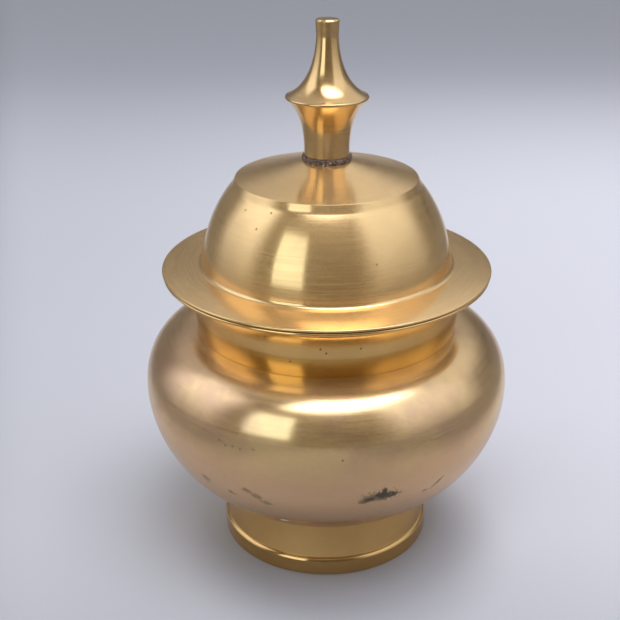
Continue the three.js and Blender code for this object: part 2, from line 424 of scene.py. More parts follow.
def turning_marks_nodes(tree, given):
    """Fine rings left by the turning tool, the slight waves that polishing leaves, and scratches."""
    split = node(tree, "ShaderNodeSeparateXYZ", {0: given["Position"]})

    def rings(round_length, pitch):
        """Noise drawn out round the axis to round_length, with rings a pitch apart."""
        parts = {
            "X": maths(tree, "DIVIDE", split.outputs["X"], round_length),
            "Y": maths(tree, "DIVIDE", split.outputs["Y"], round_length),
            "Z": maths(tree, "DIVIDE", given["Along"], pitch),
        }
        return node(tree, "ShaderNodeCombineXYZ", parts).outputs[0]

    fine = noise_value(tree, rings(*FINE_RINGS), detail=2.0, roughness=0.6)
    broad = noise_value(tree, rings(*BROAD_RINGS), detail=1.0)
    wave = noise_value(tree, rings(*WAVES), detail=0.0)
    height = raised(tree, times(tree, fine, given["Fine depth"]), broad, given["Ripple depth"])
    height = raised(tree, height, wave, given["Swell depth"])
    scratches = noise_value(tree, rings(*SCRATCHES), detail=0.0)
    gathered = raised(tree, scratches, maths(tree, "SUBTRACT", fine, NOISE_MIDDLE), STREAK_STRENGTH)
    scratched = maths(tree, "GREATER_THAN", gathered, given["Grain level"])
    return {"Height": height, "Lines": fade(tree, fine, *FINE_RING_EDGES), "Scratched": scratched}


TURNING_MARKS = shader_group(
    "Turning marks",
    {
        "Position": (VECTOR, (0, 0, 0)),
        "Along": (FLOAT, 0.0),
        "Fine depth": (FLOAT, 0.01),
        "Ripple depth": (FLOAT, 0.01),
        "Swell depth": (FLOAT, 0.02),
        "Grain level": (FLOAT, 0.52),
    },
    {"Height": FLOAT, "Lines": FLOAT, "Scratched": FLOAT},
    turning_marks_nodes,
)

# Tarnish: broad patches with small clouds among them
PATCH_SCALE = 0.045
PATCH_SHARE = 0.7
CLOUD_SCALE = 0.21
CLOUD_SHARE = 0.3
TARNISH_EDGES = (0.38, 0.66)


def tarnish_nodes(tree, given):
    """Brass that has dulled in soft patches."""
    patches = noise_value(tree, given["Position"], scale=PATCH_SCALE, detail=3.0, roughness=0.55)
    clouds = noise_value(tree, given["Position"], scale=CLOUD_SCALE, detail=3.0, roughness=0.6)
    amount = raised(tree, times(tree, patches, PATCH_SHARE), clouds, CLOUD_SHARE)
    dull = times(tree, fade(tree, amount, *TARNISH_EDGES), given["Amount"])
    return {"Colour": mixed_colour(tree, dull, given["Clean"], given["Dull"]), "Dulled": dull}


TARNISH = shader_group(
    "Tarnish",
    {
        "Position": (VECTOR, (0, 0, 0)),
        "Clean": (COLOUR, (1, 1, 1, 1)),
        "Dull": (COLOUR, (1, 1, 1, 1)),
        "Amount": (FLOAT, 0.5),
    },
    {"Colour": COLOUR, "Dulled": FLOAT},
    tarnish_nodes,
)

# A pit's radius runs from this share of the given one to one more, and its rim is a little soft
PIT_LEAST_SHARE = 0.5
PIT_EDGES = (0.7, 1.0)


def pits_nodes(tree, given):
    """Small pits of the casting, scattered a spacing apart, of which only a share is there."""
    closeness = maths(tree, "DIVIDE", 1.0, given["Spacing"])
    values = {0: given["Position"], "Scale": closeness}
    place = node(tree, "ShaderNodeVectorMath", values, operation="SCALE").outputs[0]
    cells = node(tree, "ShaderNodeTexVoronoi", {"Vector": place, "Scale": 1.0})
    apart = times(tree, cells.outputs["Distance"], given["Spacing"])
    split = node(tree, "ShaderNodeSeparateColor", {0: cells.outputs["Color"]})
    kept = maths(tree, "LESS_THAN", split.outputs[0], given["Share"])
    radius = times(tree, given["Radius"], maths(tree, "ADD", split.outputs[1], PIT_LEAST_SHARE))
    inside = fade(tree, maths(tree, "DIVIDE", apart, radius), *PIT_EDGES, 1.0, 0.0)
    return {"Cover": times(tree, inside, kept)}


PITS = shader_group(
    "Pits",
    {
        "Position": (VECTOR, (0, 0, 0)),
        "Spacing": (FLOAT, 6.0),
        "Share": (FLOAT, 0.2),
        "Radius": (FLOAT, 0.2),
    },
    {"Cover": FLOAT},
    pits_nodes,
)

# Where a spot starts to fade and ends, as a share of its size, and the scale of the crumbs in its edge
SPOT_EDGES = (0.75, 1.0)
CRUMB_SCALE = 1.7


def spot_nodes(tree, given):
    """One spot: a ragged ellipsoid of the given half sizes, turned to lie on the surface."""
    values = {
        "Vector": given["Position"],
        "Location": given["Centre"],
        "Rotation": given["Lie"],
        "Scale": given["Half size"],
    }
    local = node(tree, "ShaderNodeMapping", values, vector_type="TEXTURE").outputs[0]
    distance = node(tree, "ShaderNodeVectorMath", {0: local}, operation="LENGTH").outputs["Value"]
    distance = raised(tree, distance, given["Crumbs"], given["Ragged"])
    return {"Cover": fade(tree, distance, *SPOT_EDGES, 1.0, 0.0)}


SPOT = shader_group(
    "Spot",
    {
        "Position": (VECTOR, (0, 0, 0)),
        "Centre": (VECTOR, (0, 0, 0)),
        "Lie": (VECTOR, (0, 0, 0)),
        "Half size": (VECTOR, (1, 1, 1)),
        "Crumbs": (FLOAT, 0.0),
        "Ragged": (FLOAT, 1.5),
    },
    {"Cover": FLOAT},
    spot_nodes,
)


def position_in_mm(tree):
    place = tree.nodes.new("ShaderNodeTexCoord").outputs["Object"]
    values = {0: place, 1: (1 / MM, 1 / MM, 1 / MM)}
    return node(tree, "ShaderNodeVectorMath", values, operation="MULTIPLY").outputs[0]


def cover_of(tree, position, spots):
    """The joint cover of several spots, each a dict of the Spot group's inputs."""
    crumbs = noise_value(tree, position, scale=CRUMB_SCALE, detail=4.0, roughness=0.75)
    crumbs = maths(tree, "SUBTRACT", crumbs, NOISE_MIDDLE)
    cover = None
    for spot in spots:
        one = place_group(tree, SPOT, {"Position": position, "Crumbs": crumbs, **spot})["Cover"]
        cover = one if cover is None else maths(tree, "MAXIMUM", cover, one)
    return cover


# Depths of the marks that all the brass has, in millimetres
RIPPLE_DEPTH = 0.004
SWELL_DEPTH = 0.02
PIT_DEPTH = 0.05
# How much rougher brass is in a scratch, where it has dulled and in a pit
SCRATCH_ROUGHNESS = 0.45
DULL_ROUGHNESS = 0.06
PIT_ROUGHNESS = 0.3
# Pits of the casting: how far apart, how wide, how dark and how much less metallic
PIT_SPACING = 5.5
PIT_RADIUS = 0.22
PIT_DARKNESS = 0.8
PIT_METAL_LOSS = 0.5
# The rings of the turning stretch each reflection square to themselves
RING_STRETCH = 0.6
RING_DIRECTION = 0.25

# Colours
CLEAN_GOLD = (0.86, 0.58, 0.26, 1)
DULL_GOLD = (0.74, 0.49, 0.22, 1)
CLEAN_PALE = (0.85, 0.585, 0.28, 1)
DULL_PALE = (0.68, 0.43, 0.26, 1)
# Painted shade and reflection: the lower belly darker and pinker, as where it mirrors the shaded floor
LOW_BELLY_SHADE = (0.69, 0.45, 0.255, 1)
CLEAN_NECK = (0.86, 0.57, 0.22, 1)
DULL_NECK = (0.72, 0.46, 0.17, 1)
# Painted shade and reflection: the neck darker and more amber low down, in the crease where it mirrors the
# shoulder
CREASE_SHADE = (0.70, 0.43, 0.13, 1)
# The foot's brass, painted darker for the shade it stands in, where it mirrors the shaded floor beside it
CLEAN_FOOT_SHADED = (0.64, 0.40, 0.15, 1)
DULL_FOOT_SHADED = (0.50, 0.30, 0.11, 1)
CLEAN_KNOB = (0.78, 0.52, 0.23, 1)
DULL_KNOB = (0.62, 0.38, 0.16, 1)
CLEAN_RAW = (0.66, 0.46, 0.22, 1)
DULL_RAW = (0.42, 0.28, 0.14, 1)
PIT_BROWN = (0.09, 0.05, 0.02, 1)
STAIN_GREY = (0.06, 0.046, 0.032, 1)
STAIN_OLIVE = (0.22, 0.16, 0.07, 1)
RESIDUE_WHITE = (0.78, 0.72, 0.66, 1)
SOLDER_BROWN = (0.09, 0.055, 0.04, 1)
SOLDER_PALE = (0.36, 0.26, 0.19, 1)
SOLDER_CRUMB = (0.62, 0.50, 0.42, 1)

# What lies on the brass: colour, roughness and metallic
PIT_DIRT = (PIT_BROWN, 0.5, 0.5)
OLIVE_STAIN = (STAIN_OLIVE, 0.45, 0.6)
GREY_STAIN = (STAIN_GREY, 0.5, 0.3)
WHITE_RESIDUE = (RESIDUE_WHITE, 0.7, 0.0)

# The heights between which the shade and reflection painted on the lower belly, and those painted in the
# crease at the neck's foot, fade out
LOW_BELLY_SHADE_HEIGHTS = (38, 50)
CREASE_SHADE_HEIGHTS = (69.2, 70.2)


def brass(
    name,
    clean,
    dull,
    roughness,
    haze=0.03,
    grain=0.55,
    dulled=0.5,
    fine=0.002,
    pits=0.1,
    tint=None,
    stains=(),
):
    """Turned brass.

    haze: how much rougher the fine rings are. grain: the level above which the brass is scratched.
    dulled: how far tarnish goes. fine: depth of the fine rings. pits: the share of pits that is there.
    tint: the heights between which a painted shade fades out, and its colour. stains: (spots, stain, share)
    each.
    """
    material = bpy.data.materials.new(name)
    material.use_nodes = True
    tree = material.node_tree
    shader = tree.nodes["Principled BSDF"]
    position = position_in_mm(tree)
    along = node(tree, "ShaderNodeAttribute", attribute_name="along").outputs["Fac"]
    depths = {"Fine depth": fine, "Ripple depth": RIPPLE_DEPTH, "Swell depth": SWELL_DEPTH}
    marks_values = {"Position": position, "Along": along, "Grain level": grain, **depths}
    marks = place_group(tree, TURNING_MARKS, marks_values)
    tarnish_values = {"Position": position, "Clean": clean, "Dull": dull, "Amount": dulled}
    tarnish = place_group(tree, TARNISH, tarnish_values)
    pit_values = {"Position": position, "Spacing": PIT_SPACING, "Share": pits, "Radius": PIT_RADIUS}
    pit = place_group(tree, PITS, pit_values)["Cover"]

    colour = tarnish["Colour"]
    if tint:
        # Painted shade: the tint's colour comes in below the given heights
        (low, high), tint_colour = tint
        up = node(tree, "ShaderNodeSeparateXYZ", {0: position}).outputs["Z"]
        colour = mixed_colour(tree, fade(tree, up, low, high, 1.0, 0.0), colour, tint_colour)
    colour = mixed_colour(tree, times(tree, pit, PIT_DARKNESS), colour, PIT_BROWN)
    rough = raised(tree, roughness, tarnish["Dulled"], DULL_ROUGHNESS)
    rough = raised(tree, rough, marks["Lines"], haze)
    rough = raised(tree, rough, marks["Scratched"], SCRATCH_ROUGHNESS)
    rough = raised(tree, rough, pit, PIT_ROUGHNESS)
    metal = raised(tree, 1.0, pit, -PIT_METAL_LOSS)
    height = raised(tree, marks["Height"], pit, -PIT_DEPTH)
    for spots, (stain_colour, stain_rough, stain_metal), share in stains:
        cover = times(tree, cover_of(tree, position, spots), share)
        colour = mixed_colour(tree, cover, colour, stain_colour)
        rough = covered(tree, cover, rough, stain_rough)
        metal = covered(tree, cover, metal, stain_metal)
    bump = node(tree, "ShaderNodeBump", {"Height": height, "Distance": MM, "Strength": 1.0})
    tangent = node(tree, "ShaderNodeTangent", direction_type="RADIAL", axis="Z")
    tree.links.new(colour, shader.inputs["Base Color"])
    tree.links.new(rough, shader.inputs["Roughness"])
    tree.links.new(metal, shader.inputs["Metallic"])
    tree.links.new(bump.outputs[0], shader.inputs["Normal"])
    tree.links.new(tangent.outputs[0], shader.inputs["Tangent"])
    shader.inputs["Anisotropic"].default_value = RING_STRETCH
    shader.inputs["Anisotropic Rotation"].default_value = RING_DIRECTION
    return material


# A spot reaches this far into the metal and out of it, in millimetres
SPOT_DEPTH = 4.0
# How ragged a stain's edge is, where it isn't given
STAIN_RAGGED = 4.5


def spot_at(azimuth, radius, z, half_width, half_height, tilt, ragged=STAIN_RAGGED):
    """A spot at a radius and height. Azimuth 0 faces the camera and grows to the right, in degrees."""
    a = math.radians(azimuth)
    return {
        "Centre": (radius * math.sin(a), -radius * math.cos(a), z),
        "Lie": (0.0, math.radians(tilt), a),
        "Half size": (half_width, SPOT_DEPTH, half_height),
        "Ragged": ragged,
    }


def on_belly(azimuth, z, *shape):
    """A spot on the pot's outside."""
    drop = (BELLY_EQUATOR_Z - z) / (BELLY_DEPTH if z < BELLY_EQUATOR_Z else SHOULDER_RISE)
    return spot_at(azimuth, BELLY_RADIUS * math.sqrt(max(0, 1 - drop * drop)), z, *shape)


# Stains on the belly: azimuth, height, half width, half height, tilt, and at some how ragged the edge is
DARK_STAINS = [
    (17.4, 37.0, 2.5, 1.5, 4),
    (20.3, 36.6, 2.0, 1.2, -4),
    (17.5, 38.6, 0.9, 1.2, 0),
    (13.2, 35.9, 2.0, 0.9, -10),
]
PALE_STAINS = [
    (16.8, 36.6, 5.0, 2.0, 0),
    (11.8, 35.4, 1.8, 1.0, 0),
    (-30.8, 33.8, 1.0, 0.8, 10),
    (-24.3, 36.6, 1.7, 0.8, 8),
    (-21.6, 35.0, 1.8, 1.0, 12, 6.0),
    (-18.8, 33.2, 1.5, 0.8, 12, 6.0),
    (-40.4, 35.4, 1.4, 1.1, 6, 6.0),
    (36.8, 35.9, 0.6, 2.1, 45),
    (32.7, 34.4, 0.9, 0.5, 0),
]
RESIDUE = [(-15.3, 24.4, 1.2, 0.6, 0, 0.8)]

# Single pits: azimuth and height on the belly, and azimuth, radius and height on the dome and the neck
BELLY_PITS = [
    (-31.8, 50.6),
    (-29.7, 49.6),
    (-27.3, 49.9),
    (-24.8, 49.7),
    (-20.7, 50.4),
    (4.8, 49.4),
    (36.3, 53.0),
    (45.6, 49.7),
    (-37.4, 51.8),
    (30.1, 56.3),
    (-10.7, 61.9),
    (26.7, 59.7),
    (-29.1, 33.5),
    (-24.2, 33.1),
]
DOME_PITS = [
    (-49.9, 26.4, 101.7),
    (-37.4, 28.4, 98.7),
    (-31.8, 25.7, 102.6),
    (22.8, 31.6, 92.0),
]
NECK_PITS = [
    (-23.7, 36.4, 74.9),
    (-14.3, 35.7, 68.5),
    (-2.1, 36.1, 72.7),
    (0.1, 36, 71.5),
    (13.5, 36.1, 72.4),
]
# Half width, half height, tilt and raggedness of a single pit
PIT_SHAPE = (0.28, 0.28, 0, 0.8)


def make_finishes():
    """The finishes of the pieces' faces, by short names."""
    belly_stains = [
        ([on_belly(*place, *PIT_SHAPE) for place in BELLY_PITS], PIT_DIRT, 0.8),
        ([on_belly(*stain) for stain in PALE_STAINS], OLIVE_STAIN, 0.75),
        ([on_belly(*stain) for stain in DARK_STAINS], GREY_STAIN, 0.9),
        ([on_belly(*stain) for stain in RESIDUE], WHITE_RESIDUE, 0.9),
    ]
    neck_stains = [([spot_at(*place, *PIT_SHAPE) for place in NECK_PITS], PIT_DIRT, 0.9)]
    dome_stains = [([spot_at(*place, *PIT_SHAPE) for place in DOME_PITS], PIT_DIRT, 0.6)]
    pale = brass(
        "pale_brass",
        CLEAN_PALE,
        DULL_PALE,
        roughness=0.15,
        haze=0.05,
        grain=0.60,
        dulled=0.75,
        pits=0.05,
        # painted shade and reflection on the lower belly
        tint=(LOW_BELLY_SHADE_HEIGHTS, LOW_BELLY_SHADE),
        stains=belly_stains,
    )
    neck = brass(
        "neck_brass",
        CLEAN_NECK,
        DULL_NECK,
        roughness=0.13,
        grain=0.7,
        pits=0.03,
        # painted shade and reflection in the crease at the neck's foot
        tint=(CREASE_SHADE_HEIGHTS, CREASE_SHADE),
        stains=neck_stains,
    )
    # The foot's colours hold painted shade
    foot = brass("foot_brass", CLEAN_FOOT_SHADED, DULL_FOOT_SHADED, roughness=0.11, grain=0.66, pits=0.06)
    lid = brass(
        "lid_brass",
        CLEAN_GOLD,
        DULL_GOLD,
        roughness=0.13,
        haze=0.05,
        grain=0.56,
        fine=0.003,
        pits=0.05,
        stains=dome_stains,
    )
    knob = brass("knob_brass", CLEAN_KNOB, DULL_KNOB, roughness=0.12, grain=0.62, pits=0.05)
    raw = brass("raw_brass", CLEAN_RAW, DULL_RAW, roughness=0.38, dulled=0.9, fine=0.02, pits=0.2)
    dark = solder("dark_solder")
    return {"pale": pale, "neck": neck, "foot": foot, "lid": lid, "knob": knob, "raw": raw, "solder": dark}


# The solder's surface: lumps, with small bright crumbs among them
SOLDER_LUMP_SCALE = 1.6
SOLDER_LUMP_DEPTH = 0.5
SOLDER_COLOUR_EDGES = (0.35, 0.7)
SOLDER_ROUGH_EDGES = (0.3, 0.7)
SOLDER_ROUGHNESS = (0.75, 0.45)
SOLDER_METALLIC = 0.6
SOLDER_CRUMB_SPACING = 0.9
SOLDER_CRUMB_SHARE = 0.3
SOLDER_CRUMB_RADIUS = 0.22


def solder(name):
    """Rough solder, dark brown with brighter crumbs."""
    material = bpy.data.materials.new(name)
    material.use_nodes = True
    tree = material.node_tree
    shader = tree.nodes["Principled BSDF"]
    position = position_in_mm(tree)
    lumps = noise_value(tree, position, scale=SOLDER_LUMP_SCALE, detail=4.0, roughness=0.65)
    crumb_values = {
        "Position": position,
        "Spacing": SOLDER_CRUMB_SPACING,
        "Share": SOLDER_CRUMB_SHARE,
        "Radius": SOLDER_CRUMB_RADIUS,
    }
    crumbs = place_group(tree, PITS, crumb_values)["Cover"]
    colour = mixed_colour(tree, fade(tree, lumps, *SOLDER_COLOUR_EDGES), SOLDER_BROWN, SOLDER_PALE)
    colour = mixed_colour(tree, crumbs, colour, SOLDER_CRUMB)
    height = times(tree, lumps, SOLDER_LUMP_DEPTH)
    bump = node(tree, "ShaderNodeBump", {"Height": height, "Distance": MM, "Strength": 1.0})
    rough = fade(tree, lumps, *SOLDER_ROUGH_EDGES, *SOLDER_ROUGHNESS)
    tree.links.new(colour, shader.inputs["Base Color"])
    tree.links.new(bump.outputs[0], shader.inputs["Normal"])
    tree.links.new(rough, shader.inputs["Roughness"])
    shader.inputs["Metallic"].default_value = SOLDER_METALLIC
    return material


# The pieces


def belly_curve(wall):
    """The lower half of the pot, from the axis out to the widest ring."""
    points = []
    for i in range(BELLY_STEPS + 1):
        angle = math.radians(90 * i / BELLY_STEPS)
        r = (BELLY_RADIUS - wall) * math.sin(angle)
        points.append((r, BELLY_EQUATOR_Z - (BELLY_DEPTH - wall) * math.cos(angle)))
    return points


def shoulder_curve(wall):
    """The shoulder, from just above the widest ring to the level land at the neck."""
    power = 2 / SHOULDER_SQUARENESS
    reach = BELLY_RADIUS - NECK_RADIUS
    points = []
    for i in range(1, SHOULDER_STEPS + 1):
        angle = math.pi / 2 * i / SHOULDER_STEPS
        r = NECK_RADIUS - wall + reach * max(math.cos(angle), 0) ** power
        points.append((r, BELLY_EQUATOR_Z + (SHOULDER_RISE - wall) * math.sin(angle) ** power))
    return points


def make_belly_shell(finish):
    """The pot: round base, belly and shoulder in one wall, open at the neck."""
    land = (NECK_RADIUS - NECK_WALL, SHOULDER_Z)
    mouth_edge = (NECK_RADIUS - NECK_WALL, SHOULDER_Z - BELLY_WALL)
    outside = [*belly_curve(0), *shoulder_curve(0)]
    inside = [mouth_edge, *reversed(shoulder_curve(BELLY_WALL)[:-1]), *reversed(belly_curve(BELLY_WALL))]
    outline = [*marked(outside, OUTSIDE), *marked([land, *inside], INSIDE)]
    finishes = [finish["pale"], finish["raw"]]
    return turned("pot_shell", outline, "belly_shell", "bowl", "pale_brass", finishes)


def throat():
    """The collar's inside, from the inner edge of the rim's level seat down to the shoulder's land."""
    seat = (RIM_RADIUS - RIM_EDGE / 2 - RIM_SEAT_WIDTH, RIM_TOP_Z)
    foot = (NECK_RADIUS - NECK_WALL, COLLAR_FOOT_Z)
    seat_handle = (seat[0] - (seat[0] - foot[0]) * THROAT_EASE, RIM_TOP_Z)
    foot_handle = (foot[0], foot[1] + NECK_RISE * THROAT_HANDLE)
    return [seat, *sweep(seat, seat_handle, foot_handle, foot)]


def make_neck_collar(finish):
    """The mouth: a collar that stands on the shoulder and flares out to a level rim."""
    foot = (NECK_RADIUS, COLLAR_FOOT_Z)
    edge_under = (RIM_RADIUS - RIM_EDGE / 2, RIM_TOP_Z - RIM_EDGE)
    edge_top = (RIM_RADIUS - RIM_EDGE / 2, RIM_TOP_Z)
    flare = edge_under[0] - NECK_RADIUS
    foot_handle = (NECK_RADIUS + flare * NECK_LEAN, COLLAR_FOOT_Z + NECK_RISE * NECK_HANDLE)
    rim_handle = (edge_under[0] - flare * RIM_HANDLE, edge_under[1] - NECK_RISE * RIM_DROOP)
    outside = [(foot[0], SHOULDER_Z), foot, *sweep(foot, foot_handle, rim_handle, edge_under)]
    edge = arc(edge_under, edge_top, RIM_EDGE / 2)
    seat = line(edge_top, throat()[0])
    inside = [*throat()[1:], (NECK_RADIUS - NECK_WALL, SHOULDER_Z)]
    outline = [*marked([*outside, *edge, *seat], OUTSIDE), *marked(inside, INSIDE)]
    finishes = [finish["neck"], finish["raw"]]
    return turned("neck_collar_turned", outline, "neck_collar", "bowl", "gold_brass", finishes)


def foot_sides():
    """The foot's steep side, slightly hollow, from the ledge up to the pot, and the same side one wall in."""
    ledge = Vector((FOOT_RADIUS - FOOT_LEDGE_ROUND, FOOT_BAND_HEIGHT))
    waist = Vector((FOOT_WAIST_RADIUS, belly_under_z(FOOT_WAIST_RADIUS)))
    chord = waist - ledge
    handle = (ledge + waist) / 2 + Vector((-chord.y, chord.x)) * FOOT_WAIST_PULL
    low_handle, high_handle = ledge.lerp(handle, 2 / 3), waist.lerp(handle, 2 / 3)
    side = [tuple(ledge), *sweep(ledge, low_handle, high_handle, waist, FOOT_SIDE_STEPS)]
    seat_radius = FOOT_WAIST_RADIUS - FOOT_WALL
    seat = (seat_radius, belly_under_z(seat_radius))
    return side, [*inset(side, FOOT_WALL)[1:-1], seat]


def make_foot_ring(finish):
    """The foot: a level sole, an upright band with a rounded ledge, and the steep side set back from it."""
    side, hollow = foot_sides()
    sole_outer = (FOOT_RADIUS - FOOT_SOLE_ROUND, 0)
    sole_inner = (sole_outer[0] - FOOT_SOLE_WIDTH, 0)
    band_foot = (FOOT_RADIUS, FOOT_SOLE_ROUND)
    band_top = (FOOT_RADIUS, FOOT_BAND_HEIGHT - FOOT_LEDGE_ROUND)
    band = [*arc(sole_outer, band_foot, FOOT_SOLE_ROUND), *line(band_foot, band_top)]
    ledge = arc(band_top, side[0], FOOT_LEDGE_BULGE_RADIUS)
    outside = [sole_inner, *line(sole_inner, sole_outer), *band, *ledge, *side[1:]]
    outline = [*marked(outside, OUTSIDE), *marked(reversed(hollow), INSIDE)]
    finishes = [finish["foot"], finish["raw"]]
    return turned("foot_ring_turned", outline, "foot_ring", "bowl", "gold_brass", finishes)


def make_foot_solder(finish):
    """Solder in the inner corner between the foot and the pot's base."""
    hollow = foot_sides()[1]
    corner = (hollow[-1][0] - SEAM_GAP, belly_under_z(hollow[-1][0] - SEAM_GAP) - SEAM_GAP)
    inner_radius = corner[0] - FOOT_SOLDER_LEG
    inner = (inner_radius, belly_under_z(inner_radius) - SEAM_GAP)
    low_z = corner[1] - FOOT_SOLDER_LEG
    low = (radius_at(hollow, low_z) - SEAM_GAP, low_z)
    middle = (Vector(inner) + Vector(low)) / 2
    face = tuple(middle * (1 - FOOT_SOLDER_HOLLOW) + Vector(corner) * FOOT_SOLDER_HOLLOW)
    outline = marked([inner, *sweep(inner, face, face, low, FOOT_SOLDER_STEPS), corner], OUTSIDE)
    return turned("foot_solder", outline, "foot_solder_fillet", "bowl", "dark_solder", [finish["solder"]])


def make_lid_shell(finish):
    """The lid: brim, dome, a small step and a shallow cone with a hole for the knob's tenon."""
    edge_under = (LID_RADIUS - BRIM_EDGE / 2, BRIM_UNDER_Z)
    edge_top = (LID_RADIUS - BRIM_EDGE / 2, BRIM_TOP_Z)
    brim_root = (DOME_RADIUS + BRIM_FILLET_RADIUS, BRIM_ROOT_Z)
    dome_foot = (DOME_RADIUS, BRIM_ROOT_Z + BRIM_FILLET_RADIUS)
    step_foot = (CROWN_STEP_RADIUS, CROWN_STEP_Z)
    step_top = (CROWN_RADIUS, CROWN_EDGE_Z)
    hole = TENON_RADIUS + SEAM_GAP
    hole_top = (hole, crown_top_z(hole))
    edge = arc(edge_under, edge_top, BRIM_EDGE / 2)
    brim = arc(edge_top, brim_root, BRIM_BULGE_RADIUS, BRIM_STEPS)
    fillet = arc(brim_root, dome_foot, -BRIM_FILLET_RADIUS)
    dome = [dome_foot, *arc(dome_foot, step_foot, DOME_BULGE_RADIUS, DOME_STEPS)]
    crown = [*line(step_foot, step_top), *line(step_top, hole_top)]
    dome_inside = list(reversed(inset(dome, LID_WALL)[:-1]))
    crown_corner = (CROWN_RADIUS - LID_WALL, crown_under_z(CROWN_RADIUS - LID_WALL))
    hole_under = (hole, crown_under_z(hole))
    inside = [hole_under, *line(hole_under, crown_corner), *dome_inside]
    under_edge = (dome_inside[-1][0], BRIM_UNDER_Z)
    under = [under_edge, *line(under_edge, edge_under)]
    outside = [*under, *edge, *brim, *fillet, *dome[1:], *crown]
    outline = [*marked(outside, OUTSIDE), *marked(inside, INSIDE)]
    return turned("lid_turned", outline, "lid_shell", "lid", "gold_brass", [finish["lid"], finish["raw"]])


def make_locating_ring(finish):
    """The band under the brim that drops into the mouth."""
    foot_z = BRIM_UNDER_Z - LOCATING_RING_DEPTH
    outer = radius_at(throat(), foot_z) - SLIP_FIT
    inner = outer - LOCATING_RING_WALL
    lead = (outer - LOCATING_RING_LEAD, foot_z)
    lead_top = (outer, foot_z + LOCATING_RING_LEAD)
    outline = [(inner, foot_z), lead, *line(lead, lead_top), *line(lead_top, (outer, BRIM_UNDER_Z))]
    outline += line((outer, BRIM_UNDER_Z), (inner, BRIM_UNDER_Z))
    outline += line((inner, BRIM_UNDER_Z), (inner, foot_z))[:-1]
    outline = marked(outline, OUTSIDE)
    return turned("locating_ring", outline, "lid_locating_ring", "lid", "raw_brass", [finish["raw"]])


def make_solder_collar(finish):
    """Lumpy solder between the knob and the crown."""
    inner = SOLDER_COLLAR_RADIUS - SOLDER_COLLAR_WIDTH
    inner_foot = (inner, crown_top_z(inner))
    foot_outer = (SOLDER_COLLAR_RADIUS, crown_top_z(SOLDER_COLLAR_RADIUS))
    shoulder = (SOLDER_COLLAR_RADIUS, KNOB_FOOT_Z - SOLDER_COLLAR_ROUND)
    top_outer = (SOLDER_COLLAR_RADIUS - SOLDER_COLLAR_ROUND, KNOB_FOOT_Z)
    outline = [inner_foot, *line(inner_foot, foot_outer), *line(foot_outer, shoulder)]
    outline += [*arc(shoulder, top_outer, SOLDER_COLLAR_ROUND), (inner, KNOB_FOOT_Z)]
    outline = marked(outline, OUTSIDE)
    piece_of = ("knob_solder_collar", "lid", "dark_solder")
    piece = turned("knob_solder", outline, *piece_of, [finish["solder"]], KNOB_STEPS_ROUND)
    for vertex in piece.data.vertices:
        place = vertex.co / MM
        lump = noise.fractal(place * LUMP_SCALE, LUMP_FALLOFF, LUMP_STEP, LUMP_OCTAVES) * LUMP_HEIGHT
        reach = Vector((place.x, place.y, 0))
        if reach.length > inner + LUMP_FREE_WIDTH:
            vertex.co += reach.normalized() * lump * MM
    return piece


def make_knob(finish):
    """The knob, turned from one bar: rivet head and tenon, cup-shaped stem, thin lip and slim spire."""
    head_top_z = crown_under_z(RIVET_RADIUS) - SEAM_GAP
    head_foot_z = head_top_z - RIVET_HEIGHT
    head_sag = RIVET_HEIGHT / 2
    head_side = (RIVET_RADIUS, head_foot_z + head_sag)
    bulge = (RIVET_RADIUS**2 + head_sag**2) / (2 * head_sag)
    tenon_foot = (TENON_RADIUS, crown_under_z(TENON_RADIUS) - SEAM_GAP)
    rivet = [(0, head_foot_z), *arc((0, head_foot_z), head_side, bulge), (RIVET_RADIUS, head_top_z)]
    tenon_top = (TENON_RADIUS, KNOB_FOOT_Z)
    inside = [*rivet, *line(rivet[-1], tenon_foot), *line(tenon_foot, tenon_top)]

    foot = (KNOB_STEM_RADIUS, KNOB_FOOT_Z)
    lip_radius = KNOB_LIP_RADIUS - KNOB_LIP_THICKNESS / 2
    lip_under = (lip_radius, KNOB_LIP_Z)
    lip_top = (lip_radius, KNOB_LIP_Z + KNOB_LIP_THICKNESS)
    flare = lip_radius - KNOB_STEM_RADIUS
    foot_handle = (KNOB_STEM_RADIUS, KNOB_FOOT_Z + KNOB_CUP_RISE * KNOB_CUP_HANDLE)
    lip_in, lip_down = KNOB_LIP_HANDLE
    cup_handle = (lip_radius - flare * lip_in, KNOB_LIP_Z - KNOB_CUP_RISE * lip_down)
    cup = [foot, *sweep(foot, foot_handle, cup_handle, lip_under)]
    lip = arc(lip_under, lip_top, KNOB_LIP_THICKNESS / 2)
    spire_top = (KNOB_SPIRE_RADIUS, lip_top[1] + KNOB_SPIRE_RISE)
    drop = lip_radius - KNOB_SPIRE_RADIUS
    handles = []
    for out_share, up_share in KNOB_SPIRE_HANDLES:
        handles.append((KNOB_SPIRE_RADIUS + drop * out_share, lip_top[1] + KNOB_SPIRE_RISE * up_share))
    spire = sweep(lip_top, *handles, spire_top, SPIRE_STEPS)
    tip_z = spire_top[1] + KNOB_TIP_RISE
    tip_side = (KNOB_TIP_RADIUS, tip_z - KNOB_TIP_CHAMFER)
    tip_top = (KNOB_TIP_RADIUS - KNOB_TIP_CHAMFER, tip_z)
    tip = [*line(spire_top, tip_side), *line(tip_side, tip_top), *line(tip_top, (0, tip_z))]
    outline = [*marked(inside, INSIDE), *marked([*cup, *lip, *spire, *tip], OUTSIDE)]
    finishes = [finish["knob"], finish["raw"]]
    return turned("knob_turned", outline, "knob", "lid", "knob_brass", finishes, KNOB_STEPS_ROUND)


# The studio, in metres

